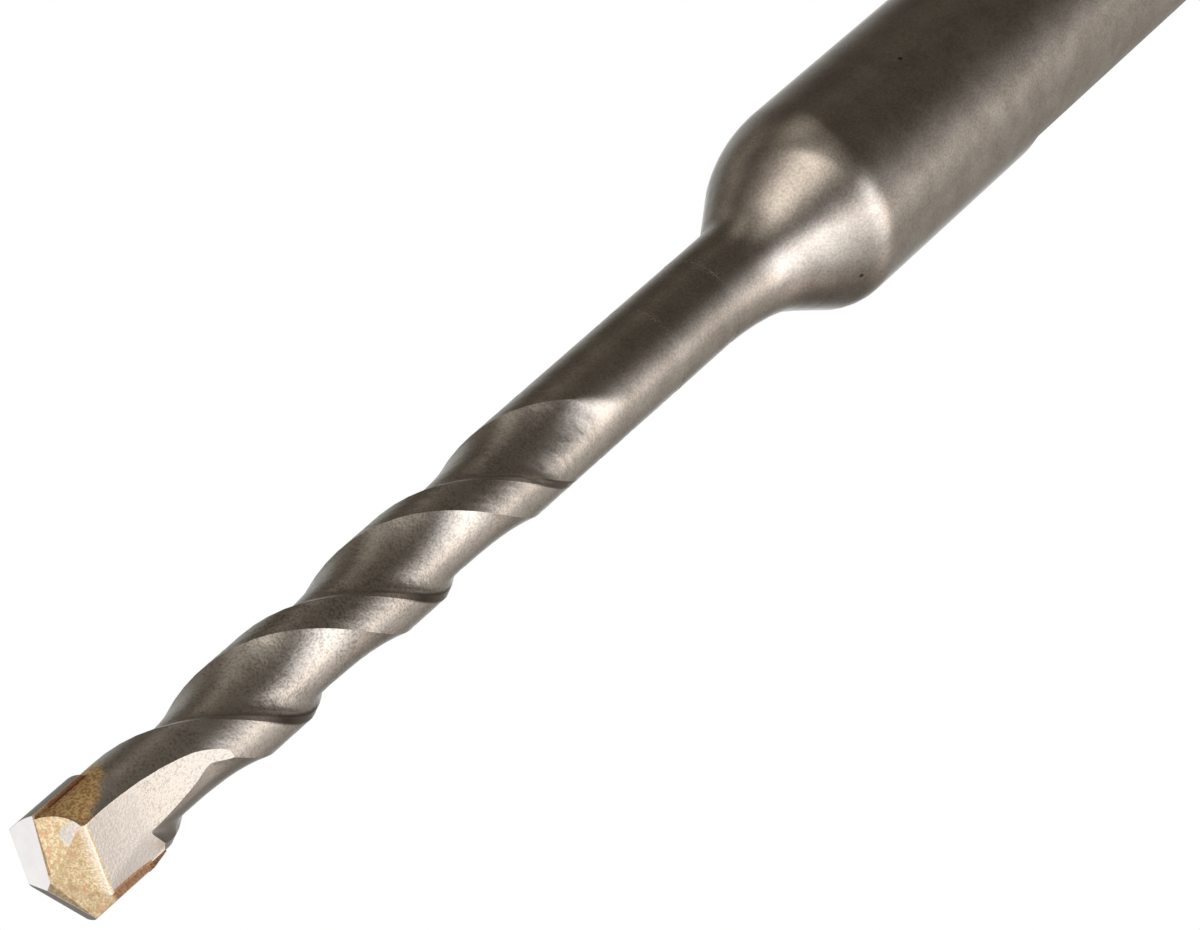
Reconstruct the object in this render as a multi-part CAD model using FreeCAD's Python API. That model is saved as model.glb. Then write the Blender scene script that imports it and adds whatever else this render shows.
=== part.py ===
"""Masonry bit for a hammer drill, about 5 mm, 110 mm long, on a 10 mm slotted shank.

The steel body is one piece: the shank with two open drive slots and two closed
detent grooves, a conical shoulder, a plain neck and two right-handed flutes.
A hard-metal plate sits in a slot across the point, and braze fills the joint and
coats the sloping steel beside the plate.

Frame: millimetres, origin at the centre of the shank's flat end, +Z along the
axis to the point, +X along the plate at its unturned position.
"""
import FreeCAD
import Part
import math
import os

Vector = FreeCAD.Vector

# Overall lengths along the axis
total_length = 110.0
shank_length = 55.2          # to the corner where shank and cone would meet

# Shank
shank_d = 10.0
shank_chamfer = 1.2
drive_slot_width = 2.8
drive_slot_bottom_r = 3.75   # from the axis to the slot's floor
drive_slot_length = 36.0
drive_cutter_r = 12.0        # the milling wheel's radius at the slot's run-out
drive_slot_draft = 12.0      # degrees on each flank
detent_ball_r = 3.5
detent_bottom_r = 3.7
detent_start = 8.5
detent_length = 20.0

# Shoulder and neck
shoulder_round_r = 2.4
shoulder_blend_r = 9.0       # larger rounding that the +X side was dressed to
shoulder_blend_width = 0.2   # the dressing runs out this far off the axis
shoulder_angle = 29.0        # half angle of the cone
foot_lead_in = 0.8           # the forged foot starts this far below its kink
foot_sharp = 0.15            # softness of the foot's corner on +X and -X ...
foot_soft = 0.9              # ... and on the two sides between them
swell_width = 1.05           # the forging stands this far out on the -X side of the foot
swell_length = 5.4
swell_decay = 2.3
swell_reach = 1.5            # how fast the swelling fades round the neck
neck_d = 4.58
drill_d = 4.52
neck_length = 12.8           # from the shank's end to where the fluted stretch takes over
neck_ease_length = 11.0      # over which the neck's diameter eases into the drill's
seam_step = 0.004            # each stretch is set in by this, so no two edges coincide

# Flutes, two of them, right-handed
flute_lead = 18.68
flute_count = 2
flute_facing = 27.9          # where one leading edge would face at the point
land_angle = 56.0            # degrees of land between two flutes
edge_break = 0.15            # radial size of the broken leading edge
edge_break_angle = 7.4
floor_r = 1.615              # floor radius at the point
floor_taper = 0.0072         # the web thickens by this per millimetre from the point
wall_angle = 18.2            # degrees that the leading wall takes
wall_power = 2.85
heel_power = 3.75            # how late the floor climbs to the heel edge
runout_distance = 20.8       # from the shank's end to the flutes' first cut
runout_length = 4.4          # along the leading wall
runout_skew = 6.8            # the heel side starts this much nearer the shank
runout_power = 1.3
head_heel_facing = -8.0      # beside the plate the heel edge stays here, in line with the axis
head_least_width = 22.0
head_fade_start = 4.5        # below the point, where the flutes begin to run out ...
head_fade_length = 2.0       # ... into the gullets
sections_per_turn = 20
points_per_flute = 9
points_per_land = 7

# Gullets ground in front of the two cutting edges
gullet_facing = -35.0        # degrees from -Y toward +X
gullet_distance = 1.46
gullet_start_drop = 3.0      # below the point
gullet_top_drop = 2.1
gullet_wheel_r = 28.6
gullet_tilt = 25.5
# Sloping steel beside the plate
shoulder_facing = 18.0
shoulder_tilt = 43.3         # from level
shoulder_top_offset = 0.5    # distance from the axis ...
shoulder_top_drop = 0.32     # ... and below the point, of the slope's upper corner

# Hard-metal plate
cut_d = 4.92
plate_thickness = 1.25
plate_turn = -9.7
plate_height = 4.5
point_half_angle = 64.7      # 129.4 degree point
relief_angle = 19.4
plate_foot_chamfer = 0.25
chisel_share = 0.62          # of the half thickness, left by the thinning
thinning_reach = 0.09        # the thinning ends this far past the axis

# Braze
braze_gap = 0.05
braze_coat = 0.07
bead_length = 0.9            # bead below the plate's foot on the -X side
bead_rise = 0.3              # and this far up beside the plate's corner


def polar(radius, angle, z):
    """Point at a radius and an angle in degrees from +X."""
    a = math.radians(angle)
    return Vector(radius * math.cos(a), radius * math.sin(a), z)


def half_turn(shape):
    """Copy of a shape turned by half a turn about the axis."""
    copy = shape.copy()
    copy.rotate(Vector(0, 0, 0), Vector(0, 0, 1), 180)
    return copy


def facing(angle):
    """Unit vector for an angle counted from -Y toward +X."""
    return polar(1.0, angle - 90.0, 0.0)


def cone_radius(z):
    """Radius of the shoulder's cone at height z."""
    return shank_d / 2 - (z - shank_length) * math.tan(math.radians(shoulder_angle))


def foot_kink():
    """Height where the cone meets the swelling on -X."""
    drop = shank_d / 2 - neck_d / 2 - swell_width
    return shank_length + drop / math.tan(math.radians(shoulder_angle))


def arc_through(center, radius, start, end):
    """Arc in the XZ plane about center (r, z), between two angles in degrees."""
    def at(t):
        return Vector(center[0] + radius * math.cos(math.radians(t)), 0,
                      center[1] + radius * math.sin(math.radians(t)))
    return Part.Arc(at(start), at((start + end) / 2), at(end)).toShape()


def turned_blank(round_r, grow, top):
    """Shank and shoulder up to a height, as one turned solid grown by grow all round."""
    turn = shoulder_angle
    shank_r = shank_d / 2 + grow
    start = shank_length - round_r * math.tan(math.radians(turn) / 2)
    end = (shank_r - round_r * (1 - math.cos(math.radians(turn))),
           start + round_r * math.sin(math.radians(turn)))

    def line(p, q):
        return Part.LineSegment(Vector(p[0], 0, p[1]), Vector(q[0], 0, q[1])).toShape()

    cone_end = (cone_radius(top) + grow, top)
    edges = [
        line((0, 0), (shank_r - shank_chamfer, 0)),
        line((shank_r - shank_chamfer, 0), (shank_r, shank_chamfer)),
        line((shank_r, shank_chamfer), (shank_r, start)),
        arc_through((shank_r - round_r, start), round_r, 0, turn),
        line(end, cone_end),
        line(cone_end, (0, top)),
        line((0, top), (0, 0)),
    ]
    face = Part.Face(Part.Wire(Part.__sortEdges__(edges)))
    return face.revolve(Vector(0, 0, 0), Vector(0, 0, 1), 360)


def dressed_blank():
    """Turned blank with the softer rounding on the +X side of its shoulder."""
    slack = 0.003
    top = foot_kink() - foot_lead_in
    limit = turned_blank(shoulder_blend_r, shoulder_blend_width, top + 0.5)
    limit.translate(Vector(slack - shoulder_blend_width, 0, 0))
    return turned_blank(shoulder_round_r, 0.0, top).common(limit)


def foot_radius(angle, z):
    """Radius of the forged foot at an angle from +X: cone, swelling and soft corner."""
    a = math.radians(angle)
    last = math.exp(-swell_length / swell_decay)
    h = max(z - foot_kink(), 0.0)
    out = swell_width * (math.exp(-h / swell_decay) - last) / (1 - last)
    neck = neck_d / 2 + out * ((1 - math.cos(a)) / 2) ** swell_reach
    cone = cone_radius(z)
    soft = foot_sharp + (foot_soft - foot_sharp) * math.sin(a) ** 2
    near = max(soft - abs(cone - neck), 0.0) / soft
    return max(cone, neck) + near * near * soft / 4


def forged_foot():
    """Stretch between cone and neck, with the forging's one-sided swelling on -X."""
    low, high = foot_kink() - foot_lead_in, foot_kink() + swell_length
    rings = []
    steps = [k / 20 for k in range(21)]
    for i in range(15):
        z = low + (high - low) * i / 14
        pts = [polar(foot_radius(360.0 * t, z) - (seam_step if i == 0 else 0.0), 360.0 * t, z)
               for t in steps[:-1]]
        curve = Part.BSplineCurve()
        curve.interpolate(Points=pts, Parameters=steps, PeriodicFlag=True)
        rings.append(Part.Wire(curve.toShape()))
    return Part.makeLoft(rings, True, False)


def neck():
    """Plain neck between the foot and the fluted stretch."""
    low = foot_kink() + swell_length
    high = shank_length + neck_length
    return Part.makeCylinder(neck_d / 2 - seam_step, high - low, Vector(0, 0, low))


def drive_slot():
    """One open drive slot on +X, with the wheel's run-out at its inner end."""
    half = drive_slot_width / 2
    out_r = shank_d / 2 + 0.5
    spread = (out_r - drive_slot_bottom_r) * math.tan(math.radians(drive_slot_draft))
    low = half - (shank_d / 2 - drive_slot_bottom_r) * math.tan(math.radians(drive_slot_draft))
    pts = [Vector(drive_slot_bottom_r, -low, -1), Vector(drive_slot_bottom_r, low, -1),
           Vector(out_r, low + spread, -1), Vector(out_r, -low - spread, -1)]
    prism = Part.Face(Part.makePolygon(pts + pts[:1])).extrude(
        Vector(0, 0, drive_slot_length + 1 + drive_cutter_r))
    wheel = Part.makeCylinder(drive_cutter_r, shank_d,
                              Vector(drive_slot_bottom_r + drive_cutter_r, -shank_d / 2,
                                     drive_slot_length), Vector(0, 1, 0))
    straight = Part.makeBox(shank_d, shank_d, drive_slot_length + 1,
                            Vector(drive_slot_bottom_r, -shank_d / 2, -1))
    return prism.common(straight.fuse(wheel))


def detent_groove():
    """One closed groove for the locking ball, on +Y."""
    y = detent_bottom_r + detent_ball_r
    low = detent_start + detent_ball_r
    high = detent_start + detent_length - detent_ball_r
    groove = Part.makeCylinder(detent_ball_r, high - low, Vector(0, y, low), Vector(0, 0, 1))
    for z in (low, high):
        groove = groove.fuse(Part.makeSphere(detent_ball_r, Vector(0, y, z)))
    return groove


def leading_angle(z):
    """Angle of the first flute's leading edge at height z."""
    return flute_facing - 90.0 + (z - total_length) / flute_lead * 360.0


def flute_width(z):
    """Angle of one flute at height z; beside the plate its heel edge runs straighter."""
    full = 360.0 / flute_count - land_angle
    return max(min(full, head_heel_facing - 90.0 - leading_angle(z)), head_least_width)


def drill_radius(z):
    """Radius over the lands, easing from the neck's to the drill's."""
    t = min(max((z - shank_length - neck_length) / neck_ease_length, 0.0), 1.0)
    start = neck_d / 2 - 2 * seam_step
    return start + (drill_d / 2 - start) * t * t * (3 - 2 * t)


def flute_radius(psi, z):
    """Radius of the flute's surface at psi degrees behind the leading edge."""
    drill_r = drill_radius(z)
    width = flute_width(z)
    floor = floor_r + floor_taper * (total_length - z)
    wall = 0.0
    if psi < wall_angle:
        wall = (drill_r - edge_break - floor) * (1 - psi / wall_angle) ** wall_power
    s = max(psi - wall_angle / 2, 0.0) / (width - wall_angle / 2)
    r = floor + wall + (drill_r - floor) * s ** heel_power
    return drill_r - (drill_r - r) * cut_depth(psi, z)


def cut_depth(psi, z):
    """Share of the full flute depth: 0 before the run-out, 1 after it, 0 at the point."""
    shifted = z + runout_skew * psi / flute_width(z)
    t = (shifted - shank_length - runout_distance) / runout_length
    fade = 1.0 - (z - total_length + head_fade_start) / head_fade_length
    return min(max(t, 0.0), 1.0) ** runout_power * min(max(fade, 0.0), 1.0)


def curve_through(pts):
    """Smooth edge through points at even steps, so that all sections share their knots."""
    curve = Part.BSplineCurve()
    curve.interpolate(Points=pts, Parameters=[k / (len(pts) - 1) for k in range(len(pts))])
    return curve.toShape()


def drill_section(z):
    """Closed outline of the fluted stretch at height z: lands, edges and flutes."""
    drill_r = drill_radius(z)
    pitch = 360.0 / flute_count
    width = flute_width(z)
    edges = []
    for i in range(flute_count):
        lead = leading_angle(z) + pitch * i
        pts = []
        for k in range(points_per_flute + 1):
            psi = width * (k / points_per_flute) ** 1.3
            pts.append(polar(flute_radius(psi, z), lead + psi, z))
        span = pitch - edge_break_angle - width
        land = [polar(drill_r, lead + width + span * k / points_per_land, z)
                for k in range(points_per_land + 1)]
        next_edge = polar(flute_radius(0.0, z), lead + pitch, z)
        edges += [
            curve_through(pts),
            curve_through(land),
            Part.LineSegment(land[-1], next_edge).toShape(),
        ]
    return Part.Wire(edges)


def fluted_stretch():
    """The drill stretch with its flutes, lofted through its turning sections."""
    low = shank_length + neck_length
    steps = int(math.ceil((total_length - low) / (flute_lead / sections_per_turn)))
    wires = [drill_section(low + (total_length - low) * i / steps) for i in range(steps + 1)]
    return Part.makeLoft(wires, True, False)


def gullet():
    """Space of one gullet: wheel run-out, flat, and the tilted face at its top."""
    out = drill_d / 2 + 0.4
    tilt = math.tan(math.radians(gullet_tilt))
    top = total_length + 2.0
    edge_z = total_length - gullet_start_drop
    gullet_top = total_length - gullet_top_drop

    def at(d, z):
        return Vector(d, 0, z)

    def wheel(t):
        a = math.radians(t)
        return at(gullet_distance + gullet_wheel_r * (1 - math.cos(a)),
                  edge_z - gullet_wheel_r * math.sin(a))

    end_angle = math.degrees(math.acos(1 - (out - gullet_distance) / gullet_wheel_r))
    edges = [
        Part.Arc(wheel(end_angle), wheel(end_angle / 2), wheel(0)).toShape(),
        Part.LineSegment(wheel(0), at(gullet_distance, gullet_top)).toShape(),
        Part.LineSegment(at(gullet_distance, gullet_top),
                         at(gullet_distance - (top - gullet_top) * tilt, top)).toShape(),
        Part.LineSegment(at(gullet_distance - (top - gullet_top) * tilt, top),
                         at(out, top)).toShape(),
        Part.LineSegment(at(out, top), wheel(end_angle)).toShape(),
    ]
    face = Part.Face(Part.Wire(edges))
    face.translate(Vector(0, -drill_d, 0))
    space = face.extrude(Vector(0, 2 * drill_d, 0))
    space.rotate(Vector(0, 0, 0), Vector(0, 0, 1), gullet_facing - 90.0)
    return space


def slope_space(lower):
    """Half space above one sloping face, moved into the steel by lower."""
    outward = facing(shoulder_facing)
    tilt = math.radians(shoulder_tilt)
    normal = outward * math.sin(tilt) + Vector(0, 0, math.cos(tilt))
    corner = outward * shoulder_top_offset + Vector(0, 0, total_length - shoulder_top_drop)
    return half_space(corner - normal * lower, normal)


def tilted_space(lower):
    """Half space outside one gullet's tilted top face, moved inward by lower."""
    outward = facing(gullet_facing)
    tilt = math.radians(gullet_tilt)
    normal = outward * math.cos(tilt) + Vector(0, 0, math.sin(tilt))
    corner = outward * gullet_distance + Vector(0, 0, total_length - gullet_top_drop)
    return half_space(corner - normal * lower, normal)


def plate_block(extra):
    """Rectangular block of the plate, larger by extra at its sides and foot."""
    half = plate_thickness / 2 + extra
    reach = drill_d
    block = Part.makeBox(2 * reach, 2 * half, plate_height + extra + 1.0,
                         Vector(-reach, -half, total_length - plate_height - extra))
    block.rotate(Vector(0, 0, 0), Vector(0, 0, 1), plate_turn)
    return block


def half_space(point, normal):
    """Large block that fills the side of a plane to which its normal points."""
    size = 6 * shank_d
    block = Part.makeBox(size, size, size, Vector(-size / 2, -size / 2, 0))
    block.Placement = FreeCAD.Placement(
        point, FreeCAD.Rotation(Vector(0, 0, 1), normal)).multiply(block.Placement)
    return block


def flank_height(x, y):
    """Height of one ground flank over a point in the unturned plate's frame."""
    slope = 1 / math.tan(math.radians(point_half_angle))
    return total_length - slope * x + math.tan(math.radians(relief_angle)) * y


def flank_space():
    """Space above the flank of the +X half, turned with the plate."""
    origin = Vector(0, 0, flank_height(0, 0))
    along = Vector(1, 0, flank_height(1, 0)) - origin
    across = Vector(0, 1, flank_height(0, 1)) - origin
    space = half_space(origin, along.cross(across))
    space.rotate(Vector(0, 0, 0), Vector(0, 0, 1), plate_turn)
    return space


def ground(shape):
    """Shape with both flanks ground off its top."""
    space = flank_space()
    return shape.cut(space).cut(half_turn(space))


def thinning_space():
    """Wedge ground off beside the chisel edge, in front of the -X half's lip."""
    half = plate_thickness / 2
    slope = 1 / math.tan(math.radians(point_half_angle))
    relief = math.tan(math.radians(relief_angle))
    end_y = -half * chisel_share
    end = Vector(relief / slope * end_y, end_y, total_length)
    corner_x = -math.sqrt((cut_d / 2) ** 2 - half ** 2)
    corner = Vector(corner_x, -half, flank_height(-corner_x, half))
    foot = Vector(-thinning_reach, -half, flank_height(-thinning_reach, -half))
    normal = (foot - end).cross(corner - end)
    if normal.z < 0:
        normal = -normal
    space = half_space(end, normal)
    front = half_space(Vector(0, 0, 0), Vector(0, -1, 0))
    front.translate(Vector(0, 0, total_length))
    space = space.common(front)
    space.rotate(Vector(0, 0, 0), Vector(0, 0, 1), plate_turn)
    return space


def carbide_plate():
    """Plate with ground diameter, two flanks that meet in the chisel edge."""
    foot_z = total_length - plate_height
    plate = Part.makeCylinder(cut_d / 2, plate_height + 1.0, Vector(0, 0, foot_z))
    plate = plate.common(Part.makeCone(cut_d / 2 - plate_foot_chamfer, cut_d / 2 + plate_height,
                                       plate_height + plate_foot_chamfer,
                                       Vector(0, 0, foot_z)))
    plate = ground(plate.common(plate_block(0.0)))
    thinning = thinning_space()
    return plate.cut(thinning).cut(half_turn(thinning))


def fluted_blank():
    """Body before the point is shaped: turned, slotted, grooved and fluted."""
    body = dressed_blank()
    for cutter in (drive_slot(), detent_groove()):
        body = body.cut(cutter).cut(half_turn(cutter))
    notch = gullet()
    drill = fluted_stretch().cut(notch).cut(half_turn(notch))
    return body.fuse([forged_foot(), neck(), drill])


def foot_bead():
    """Braze run below the plate's foot on the -X side, tapering into the land."""
    foot = total_length - plate_height
    inner, outer = drill_d / 2 - 0.15, cut_d / 2 - plate_foot_chamfer * 0.2
    pts = [Vector(-inner, 0, foot - bead_length), Vector(-drill_d / 2 + 0.02, 0, foot - bead_length),
           Vector(-outer, 0, foot), Vector(-outer, 0, foot + bead_rise), Vector(-inner, 0, foot + bead_rise)]
    face = Part.Face(Part.makePolygon(pts + pts[:1]))
    face.translate(Vector(0, -plate_thickness / 2, 0))
    bead = face.extrude(Vector(0, plate_thickness, 0))
    bead.rotate(Vector(0, 0, 0), Vector(0, 0, 1), plate_turn)
    return bead


def near_side():
    """Half of the point on the -Y side of the plate's middle."""
    side = half_space(Vector(0, 0, total_length), Vector(0, -1, 0))
    side.rotate(Vector(0, 0, 0), Vector(0, 0, 1), plate_turn)
    return side


def point_shaped(body, lower):
    """Body with both sides' sloping faces cut, moved into the steel by lower."""
    for space in (slope_space(lower), tilted_space(lower)):
        tool = space.common(near_side())
        body = body.cut(tool).cut(half_turn(tool))
    return ground(body)


def braze_film(coated):
    """Braze in the joint and on the sloping faces, taken from the coated body."""
    film = plate_block(braze_gap)
    for space in (slope_space(braze_coat), tilted_space(braze_coat)):
        tool = space.common(near_side())
        film = film.fuse([tool, half_turn(tool)])
    return coated.common(film)


def build():
    """All pieces by node name."""
    blank = fluted_blank()
    plate = carbide_plate()
    steel = point_shaped(blank, braze_coat).cut(plate_block(braze_gap))
    braze = braze_film(point_shaped(blank, 0.0)).fuse(foot_bead().cut(steel)).cut(plate)
    return {"steel_body": steel, "carbide_plate": plate, "braze_seam": braze}


def main():
    os.makedirs("parts", exist_ok=True)
    for name, shape in build().items():
        shape = shape.removeSplitter()
        solids = shape.Solids
        print(name, "solids", len(solids), "volume %.3f" % shape.Volume, "valid", shape.isValid(),
              "faces", len(shape.Faces))
        shape.exportStep("parts/%s.step" % name)


main()
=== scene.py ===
"""Looks of a slotted-shank masonry drill bit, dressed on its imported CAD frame.

The frame is in metres with the origin at the centre of the shank's flat end and
+Z along the axis to the point. The steel body, the hard-metal plate and the braze
keep their own solids; this script gives them their finishes, the studio and the
camera.
"""
import logging
import math
from dataclasses import dataclass, field
from enum import Enum
from typing import Any

import bpy
from mathutils import Matrix, Vector


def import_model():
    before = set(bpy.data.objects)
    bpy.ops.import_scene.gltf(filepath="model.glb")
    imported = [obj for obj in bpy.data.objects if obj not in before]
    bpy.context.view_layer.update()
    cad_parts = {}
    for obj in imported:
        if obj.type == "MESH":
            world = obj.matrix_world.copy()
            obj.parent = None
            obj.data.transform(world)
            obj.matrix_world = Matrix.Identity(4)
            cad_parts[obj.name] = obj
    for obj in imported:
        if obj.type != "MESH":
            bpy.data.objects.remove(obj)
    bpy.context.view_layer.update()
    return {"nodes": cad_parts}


LOG = logging.getLogger("drill_bit")
MM = 0.001
WHITE = (1.0, 1.0, 1.0)

Color = tuple[float, float, float]
Point = tuple[float, float, float]
Span = tuple[float, float]
Socket = bpy.types.NodeSocket
Feed = Any  # an output socket, a number, a colour or a vector


class Mixing(Enum):
    """How the second colour of a blend is laid over the first."""

    COVER = "MIX"
    TINT = "MULTIPLY"


@dataclass(frozen=True)
class Noise:
    """Settings of a noise texture."""

    scale: float
    detail: float = 2.0
    roughness: float = 0.5


def darker(color: Color, share: float) -> Color:
    """The colour with each of its parts times a share."""
    return tuple(share * part for part in color)


def about(level: float, span: Span) -> Span:
    """The span counted from a level."""
    return level + span[0], level + span[1]


class NodeBench:
    """Short calls for laying out one shader node tree."""

    COLUMN_WIDTH = 220

    def __init__(self, tree: bpy.types.NodeTree) -> None:
        """Keeps the tree and empties it.

        Args:
            tree: Node tree of a material, world or group.
        """
        self.tree = tree
        self.tree.nodes.clear()
        self._columns = 0

    def add(self, kind: str, **settings: Any) -> bpy.types.Node:
        """Adds a node and sets its properties.

        Args:
            kind: Blender's node type, such as ShaderNodeMath.
            **settings: Property values by name.

        Returns:
            The new node.
        """
        node = self.tree.nodes.new(kind)
        node.location = (self.COLUMN_WIDTH * self._columns, 0)
        self._columns += 1
        for name, value in settings.items():
            setattr(node, name, value)
        return node

    def feed(self, socket: Socket, value: Feed) -> None:
        """Links a socket to an input, or writes a plain value to it.

        Args:
            socket: Input socket.
            value: Output socket, number, colour or vector.
        """
        if isinstance(value, bpy.types.NodeSocket):
            self.tree.links.new(value, socket)
            return
        if hasattr(socket.default_value, "__len__"):
            wanted = len(socket.default_value)
            value = tuple(value) if hasattr(value, "__len__") else (value,) * wanted
            if len(value) == 3 and wanted == 4:
                value = (*value, 1.0)
        socket.default_value = value

    def math(self, operation: str, a: Feed, b: Feed = 0.0, c: Feed = 0.0,
             clamp: bool = False) -> Socket:
        """Places a Math node.

        Args:
            operation: Blender's name of the operation.
            a: First input.
            b: Second input.
            c: Third input.
            clamp: Whether the result is kept in 0 to 1.

        Returns:
            Its output.
        """
        node = self.add("ShaderNodeMath", operation=operation, use_clamp=clamp)
        for socket, value in zip(node.inputs, (a, b, c)):
            self.feed(socket, value)
        return node.outputs[0]

    def product(self, first: Feed, *others: Feed) -> Feed:
        """Multiplies masks in their order.

        Args:
            first: First mask.
            *others: Masks that it is multiplied by.

        Returns:
            The product.
        """
        for other in others:
            first = self.math("MULTIPLY", first, other)
        return first

    def vector(self, operation: str, a: Feed, b: Feed = (0.0, 0.0, 0.0)) -> bpy.types.Node:
        """Places a Vector Math node.

        Args:
            operation: Blender's name of the operation.
            a: First vector.
            b: Second vector.

        Returns:
            The node, because some operations use its Value output.
        """
        node = self.add("ShaderNodeVectorMath", operation=operation)
        self.feed(node.inputs[0], a)
        self.feed(node.inputs[1], b)
        return node

    def dot(self, a: Feed, b: Feed) -> Socket:
        """Dot product of two vectors."""
        return self.vector("DOT_PRODUCT", a, b).outputs["Value"]

    def plus(self, a: Feed, b: Feed) -> Socket:
        """Sum of two vectors."""
        return self.vector("ADD", a, b).outputs[0]

    def scale(self, a: Feed, factor: Feed) -> Socket:
        """Scales a vector.

        Args:
            a: The vector.
            factor: What it is multiplied by.

        Returns:
            The scaled vector.
        """
        node = self.vector("SCALE", a)
        self.feed(node.inputs["Scale"], factor)
        return node.outputs[0]

    def split(self, a: Feed) -> Any:
        """Splits a vector.

        Args:
            a: The vector.

        Returns:
            The outputs X, Y and Z.
        """
        node = self.add("ShaderNodeSeparateXYZ")
        self.feed(node.inputs[0], a)
        return node.outputs

    def ramp(self, value: Feed, span: Span, start: float = 0.0, end: float = 1.0) -> Socket:
        """Eases from one number to another while a value crosses a span.

        Args:
            value: Input value.
            span: Values between which the output changes.
            start: Output at and before the span's first value.
            end: Output at and past its second value.

        Returns:
            The eased value.
        """
        node = self.add("ShaderNodeMapRange", interpolation_type="SMOOTHSTEP")
        for name, number in (("Value", value), ("From Min", span[0]), ("From Max", span[1]),
                             ("To Min", start), ("To Max", end)):
            self.feed(node.inputs[name], number)
        return node.outputs["Result"]

    def window(self, value: Feed, span: Span, soft: float) -> Socket:
        """Mask that is 1 inside a span and fades outside it.

        Args:
            value: Input value.
            span: Lower and upper limit.
            soft: Width of the fade.

        Returns:
            The mask.
        """
        low, high = span
        return self.product(self.ramp(value, (low - soft, low)),
                            self.ramp(value, (high, high + soft), 1.0, 0.0))

    def blend(self, factor: Feed, a: Feed, b: Feed, kind: Mixing = Mixing.COVER) -> Socket:
        """Mixes two colours.

        Args:
            factor: Share of b.
            a: First colour.
            b: Second colour.
            kind: How b goes over a.

        Returns:
            The mixed colour.
        """
        node = self.add("ShaderNodeMix", data_type="RGBA", blend_type=kind.value)
        for slot, value in ((0, factor), (6, a), (7, b)):
            self.feed(node.inputs[slot], value)
        return node.outputs[2]

    def noise(self, where: Feed, settings: Noise) -> Socket:
        """Places a noise texture.

        Args:
            where: Position it is read at.
            settings: Its scale, detail and roughness.

        Returns:
            Its value, 0 to 1.
        """
        node = self.add("ShaderNodeTexNoise")
        self.feed(node.inputs["Vector"], where)
        for name, number in (("Scale", settings.scale), ("Detail", settings.detail),
                             ("Roughness", settings.roughness)):
            self.feed(node.inputs[name], number)
        return node.outputs["Fac"]

    def bump(self, height: Feed, distance: float, strength: float, normal: Feed) -> Socket:
        """Places a Bump node.

        Args:
            height: Height over the surface, 0 to 1.
            distance: Height in metres that 1 stands for.
            strength: Share of the effect.
            normal: Normal that it starts from, or None for the surface's own.

        Returns:
            The bumped normal.
        """
        node = self.add("ShaderNodeBump")
        self.feed(node.inputs["Height"], height)
        self.feed(node.inputs["Distance"], distance)
        self.feed(node.inputs["Strength"], strength)
        if normal is not None:
            self.feed(node.inputs["Normal"], normal)
        return node.outputs["Normal"]

    def group(self, tree: bpy.types.NodeTree, **values: Feed) -> Any:
        """Places a node group with its inputs.

        Args:
            tree: The group.
            **values: Input values by socket name, with underscores for spaces.

        Returns:
            The group's outputs.
        """
        node = self.add("ShaderNodeGroup", node_tree=tree)
        for name, value in values.items():
            self.feed(node.inputs[name.replace("_", " ")], value)
        return node.outputs


def new_group(name: str, inputs: dict[str, Any],
              outputs: dict[str, str]) -> tuple[bpy.types.NodeTree, NodeBench, Any, Any]:
    """Makes an empty shader node group with named sockets.

    Args:
        name: Name of the group.
        inputs: Default value by input name; a triple makes a vector socket.
        outputs: Socket kind by output name.

    Returns:
        The tree, its bench, the outputs of its input node and the inputs of its
        output node.
    """
    tree = bpy.data.node_groups.new(name, "ShaderNodeTree")
    for label, value in inputs.items():
        kind = "NodeSocketVector" if hasattr(value, "__len__") else "NodeSocketFloat"
        socket = tree.interface.new_socket(label, in_out="INPUT", socket_type=kind)
        socket.default_value = value
    for label, kind in outputs.items():
        tree.interface.new_socket(label, in_out="OUTPUT", socket_type=kind)
    bench = NodeBench(tree)
    entry = bench.add("NodeGroupInput").outputs
    leave = bench.add("NodeGroupOutput").inputs
    return tree, bench, entry, leave


class BlastGrain:
    """Node group: the fine pitted grain that blasting leaves, with broad mottling.

    Grain Size and Mottle Size are in metres; both outputs run from 0 to 1.
    """

    FINE = Noise(0.5, 3.0, 0.6)
    BROAD = Noise(1.0, 4.0, 0.6)
    CONTRAST = (0.3, 0.7)

    def __init__(self) -> None:
        """Builds the group once."""
        self.tree, bench, entry, leave = new_group(
            "blast_grain",
            {"Position": (0.0, 0.0, 0.0), "Grain Size": 0.00006, "Mottle Size": 0.0012},
            {"Grain": "NodeSocketFloat", "Mottle": "NodeSocketFloat"})
        for output, settings in (("Grain", self.FINE), ("Mottle", self.BROAD)):
            finer = bench.math("DIVIDE", 1.0, entry[output + " Size"])
            value = bench.noise(bench.scale(entry["Position"], finer), settings)
            bench.feed(leave[output], bench.ramp(value, self.CONTRAST))


@dataclass(frozen=True)
class HeadSizes:
    """Sizes of the head that the masks follow, in millimetres and degrees.

    The plate lies at plate_turn from +X. The gullet's flat faces gullet_facing, counted
    from -Y toward +X, at gullet_distance from the axis; over gullet_top the slope leans
    in by gullet_tilt, and under gullet_start the wheel of radius gullet_wheel runs out.
    The flute's leading edge is at lead_facing at the top and turns with turn_per_mm.
    The two slopes are the fall of the plate's ground flanks per millimetre, along the
    plate and across it.
    """

    top: float = 110.0
    plate_turn: float = -9.7
    cut_radius: float = 2.46
    gullet_facing: float = -35.0
    gullet_distance: float = 1.46
    gullet_top: float = 107.9
    gullet_tilt: float = 25.5
    gullet_start: float = 104.9
    gullet_wheel: float = 28.6
    lead_facing: float = 27.9
    turn_per_mm: float = 360.0 / 18.68
    flank_slope: float = 0.4727
    relief_slope: float = 0.3522


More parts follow.
